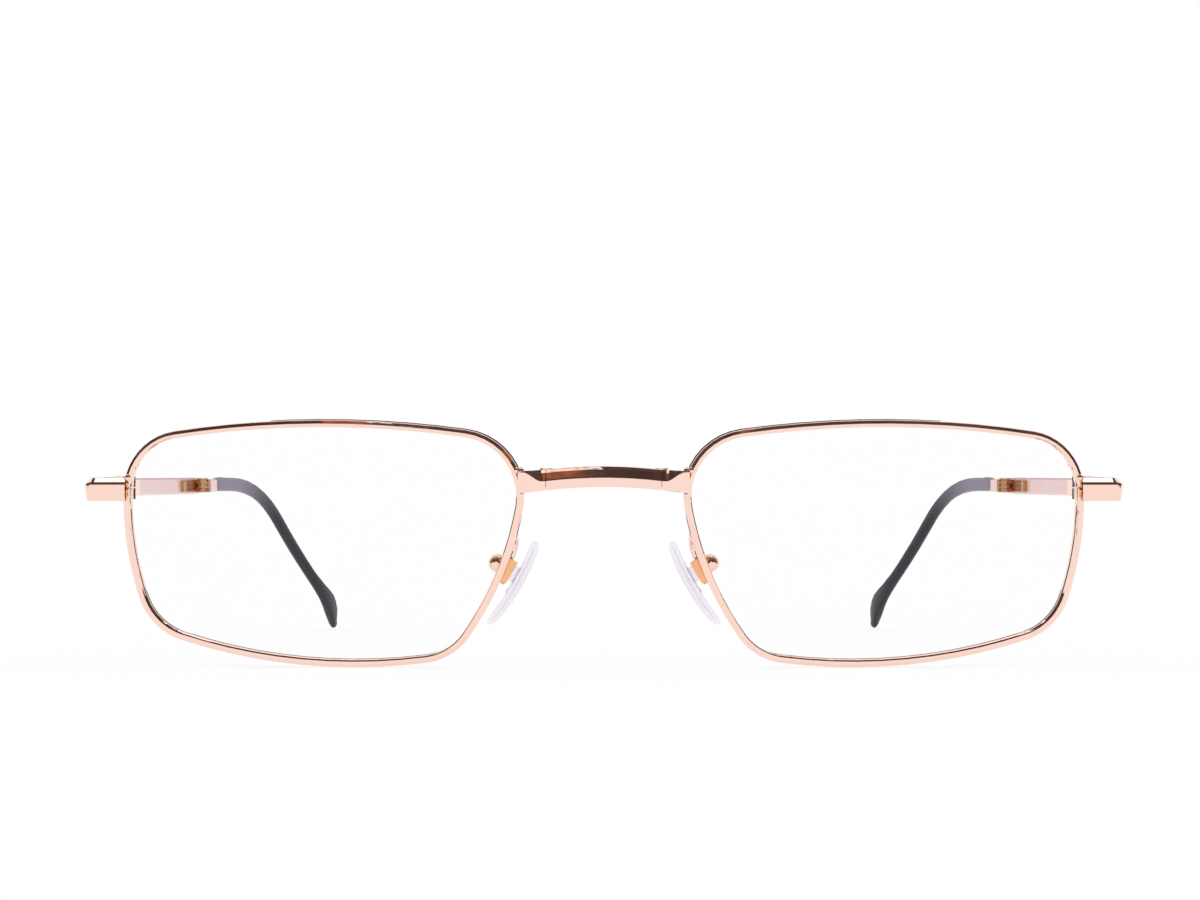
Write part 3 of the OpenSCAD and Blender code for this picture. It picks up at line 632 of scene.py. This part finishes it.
def bow(points):
    """Least squares parabola through pairs: its three coefficients, lowest power first."""
    power = [sum(t ** n for t, _ in points) for n in range(5)]
    right = Vector([sum(u * t ** n for t, u in points) for n in range(3)])
    return Matrix([power[n:n + 3] for n in range(3)]).inverted() @ right


def pad_core(pad, axis, name, body):
    """The plate inside a pad: flat rings swept along the bow in the middle of the pad."""
    across = axis.cross(Vector((0, 1, 0))).normalized()
    points = [vert.co for vert in pad.verts]
    ends = [point.dot(axis) for point in points]
    middle, half = (max(ends) + min(ends)) / 2, (max(ends) - min(ends)) / 2
    depth = sum(point.y for point in points) / len(points)
    curve = bow([((point.dot(axis) - middle) / half, point.dot(across)) for point in points])
    bm = bmesh.new()
    rings = []
    for i in range(CORE_RINGS):
        t = CORE_SHARE * (2 * i / (CORE_RINGS - 1) - 1)
        sway = curve[0] + curve[1] * t + curve[2] * t * t
        centre = axis * (middle + t * half) + across * sway + Vector((0, depth, 0))
        size = (1 - (t / CORE_NOSE) ** 4) ** 0.5
        rings.append(ring(bm, centre, across * CORE_THICK * size, Vector((0, CORE_WIDE * size, 0)),
                          CORE_SIDES))
    close_rings(bm, rings)
    bmesh.ops.recalc_face_normals(bm, faces=bm.faces[:])
    piece_from(bm, name, core_clear, body)


axis_of = {joint["name"]: Vector(joint["axis"])
           for joint in frame["record"]["behaviour"]["joints"]}
for side in SIDES:
    pad, _ = rounder(f"{side}_nose_pad")
    pad_core(pad, axis_of[f"{side}_pad_rock"].normalized(), f"{side}_pad_core", f"{side}_pad")
    print(f"{side} pad: {len(pad.faces)} faces, {CORE_RINGS} rings in its core")
    piece_from(pad, f"{side}_nose_pad_moulded", soft_clear, f"{side}_pad",
               (f"{side}_nose_pad",))
    print(polish(f"{side}_pad_clip", 0.08))

# %% [markdown]
# ## Lenses
#
# The lens is ground to the rim's outline with a ridge that snaps into the groove. Its two faces
# are parts of spheres. Smooth shading is enough here, with a tiny safety bevel at the ridge.

# %% Lenses
for side in SIDES:
    print(polish(f"{side}_lens", 0.03))

# %% [markdown]
# ## The studio
#
# Polished metal shows nothing but its surroundings, so the studio is half of the finish. The room
# in the photograph is white below and all round, which turns every upright face pale pink, and
# dark overhead, which draws a dark band on each bevel that faces up. We build that as a white
# world, a white floor and a dark dome that only mirrors can see, with beams of warm wood in it
# for the orange streaks on the bridge. Cards do the rest. Windows and skylights overhead give the
# end pieces, the bridge and the rims their pale patches, and dark and gilt furniture behind the
# glasses draws the lines inside the rims.

# %% World and floor
def plain(name, colour):
    """The finish of a card that glows in one colour."""
    finish = Finish(name)
    return finish.surface(finish.add("Emission", {}, {"Color": colour, "Strength": 1.0}))


def only_in_mirrors(card):
    """Hides a card from everything but reflections."""
    card.visible_camera = False
    card.visible_diffuse = False
    card.visible_shadow = False
    card.visible_transmission = False
    card.visible_volume_scatter = False


def stand_in_studio(bm, name, finish):
    """Turns a bmesh into a thing of the studio, which isn't part of the glasses."""
    mesh = bpy.data.meshes.new(name)
    bm.to_mesh(mesh)
    bm.free()
    mesh.materials.append(finish)
    card = bpy.data.objects.new(name, mesh)
    bpy.context.scene.collection.objects.link(card)
    return card


world = bpy.data.worlds.new("white_room")
world.use_nodes = True
world.node_tree.nodes["Background"].inputs["Color"].default_value = (1, 1, 1, 1)
world.node_tree.nodes["Background"].inputs["Strength"].default_value = 1.0
bpy.context.scene.world = world


FLOOR_REACH, FLOOR_DROP = 3.0, 0.02 * MM
FLOOR_GLOW = 0.8                       # what is left of 1 keeps the shadow of the glasses


def floor_finish():
    """White table that glows for the camera, for mirrors and through glass."""
    finish = Finish("white_table")
    rays = finish.add("LightPath")
    seen = rays.out("Is Camera Ray").larger(rays.out("Is Glossy Ray"))
    seen = seen.larger(rays.out("Is Transmission Ray"))
    table = finish.add("BsdfDiffuse", {}, {"Color": (1.0, 1.0, 1.0, 1)})
    glow = finish.add("Emission", {}, {"Color": (1, 1, 1, 1), "Strength": 1.0})
    mixed = finish.add("MixShader", {}, {"Fac": seen * FLOOR_GLOW, 1: table, 2: glow})
    return finish.surface(mixed)


bm = bmesh.new()
bmesh.ops.create_grid(bm, x_segments=1, y_segments=1, size=FLOOR_REACH)
bmesh.ops.translate(bm, verts=bm.verts, vec=(0, 0, -FLOOR_DROP))
stand_in_studio(bm, "table_top", floor_finish())

# %% Dark dome
DOME = 1.0
DARK_FROM = radians(13)                # how high over the table it begins
DARK_BACK = 0.18                       # how far behind the middle of the glasses it ends
CEILING = (0.095, 0.072, 0.066, 1)
GLOOM = (0.055, 0.036, 0.032, 1)
WOOD = (0.42, 0.150, 0.070, 1)
# Each beam of warm wood: the direction in which its middle lies, and its half width.
BEAMS = [((-0.080, -0.575, 0.815), 0.055), ((-0.140, -0.170, 0.965), 0.060),
         ((0.770, -0.270, 0.570), 0.110), ((-0.620, 0.060, 0.780), 0.050)]
BEAM_CLEAR, BEAM_END = 0.7, 1.2        # in half widths, where a beam begins to fade and is gone


def ceiling_finish():
    """Dark room with a few warm beams whose edges are soft."""
    finish = Finish("dark_room")
    place = finish.where()
    beams = 0.0
    for middle, half in BEAMS:
        away = finish.add("VectorMath", {"operation": "DISTANCE"},
                          {0: place, 1: middle}).out("Value")
        beams = beams + (1 - finish.step(away, BEAM_CLEAR * half, BEAM_END * half))
    grain = finish.step(finish.noise(place, 0.030, 3.0), 0.35, 0.65)
    room = finish.tint(finish.step(finish.noise(place, 0.004, 2.0), 0.35, 0.7), CEILING, GLOOM)
    colour = finish.tint(beams * (0.4 + 0.6 * grain), room, WOOD)
    return finish.surface(finish.add("Emission", {}, {"Color": colour, "Strength": 1.0}))


bm = bmesh.new()
bmesh.ops.create_uvsphere(bm, u_segments=96, v_segments=48, radius=DOME)
for point, way in (((0, 0, DOME * sin(DARK_FROM)), (0, 0, 1)), ((0, DARK_BACK, 0), (0, -1, 0))):
    bmesh.ops.bisect_plane(bm, geom=bm.verts[:] + bm.edges[:] + bm.faces[:], plane_co=point,
                           plane_no=way, clear_inner=True)
only_in_mirrors(stand_in_studio(bm, "dark_ceiling", ceiling_finish()))

# %% Cards that only mirrors see
# Name, colour, middle and half size along x, y and z. The thin side is the way that it faces.
DARK = (0.040, 0.026, 0.024, 1)
GILT = (0.85, 0.42, 0.18, 1)
WINDOW, SKYLIGHT = (1.9, 1.9, 1.9, 1), (1.6, 1.6, 1.6, 1)
CARDS = [
    ("window_left", WINDOW, (0.115, -0.046, 0.300), (0.020, 0.013, 0)),
    ("window_right", WINDOW, (-0.115, -0.046, 0.300), (0.020, 0.013, 0)),
    ("window_middle", (1.1, 1.09, 1.06, 1), (-0.027, -0.0865, 0.300), (0.025, 0.005, 0)),
    ("door_left", DARK, (0.900, -0.070, 0.200), (0, 0.270, 0.200)),
    ("door_right", DARK, (-0.900, -0.070, 0.200), (0, 0.270, 0.200)),
    ("skylight_left", SKYLIGHT, (0.052, -0.0255, 0.300), (0.047, 0.0155, 0)),
    ("skylight_right", SKYLIGHT, (-0.052, -0.0255, 0.300), (0.047, 0.0155, 0)),
    ("sideboard_left", DARK, (0.018, 0.250, 0.021), (0.008, 0, 0.021)),
    ("sideboard_right", DARK, (-0.018, 0.250, 0.021), (0.008, 0, 0.021)),
    ("shelf", DARK, (0, 0.250, 0.087), (0.080, 0, 0.045)),
    ("picture", DARK, (0.012, 0.450, 0.180), (0.054, 0, 0.080)),
    ("gilt_left", GILT, (0.026, 0.249, 0.036), (0.003, 0, 0.008)),
    ("gilt_right", GILT, (-0.026, 0.249, 0.036), (0.003, 0, 0.008)),
]
for name, colour, middle, half in CARDS:
    bm = bmesh.new()
    flat = half.index(0)
    u, v = [axis for axis in range(3) if axis != flat]
    corners = []
    for su, sv in ((-1, -1), (1, -1), (1, 1), (-1, 1)):
        corner = list(middle)
        corner[u] += su * half[u]
        corner[v] += sv * half[v]
        corners.append(bm.verts.new(corner))
    bm.faces.new(corners)
    only_in_mirrors(stand_in_studio(bm, name, plain(name, colour)))
print("studio ready with", len(CARDS), "cards")

# %% [markdown]
# ## Last step
#
# The last step brings the scene up to date.

# %% Update the scene
bpy.context.view_layer.update()
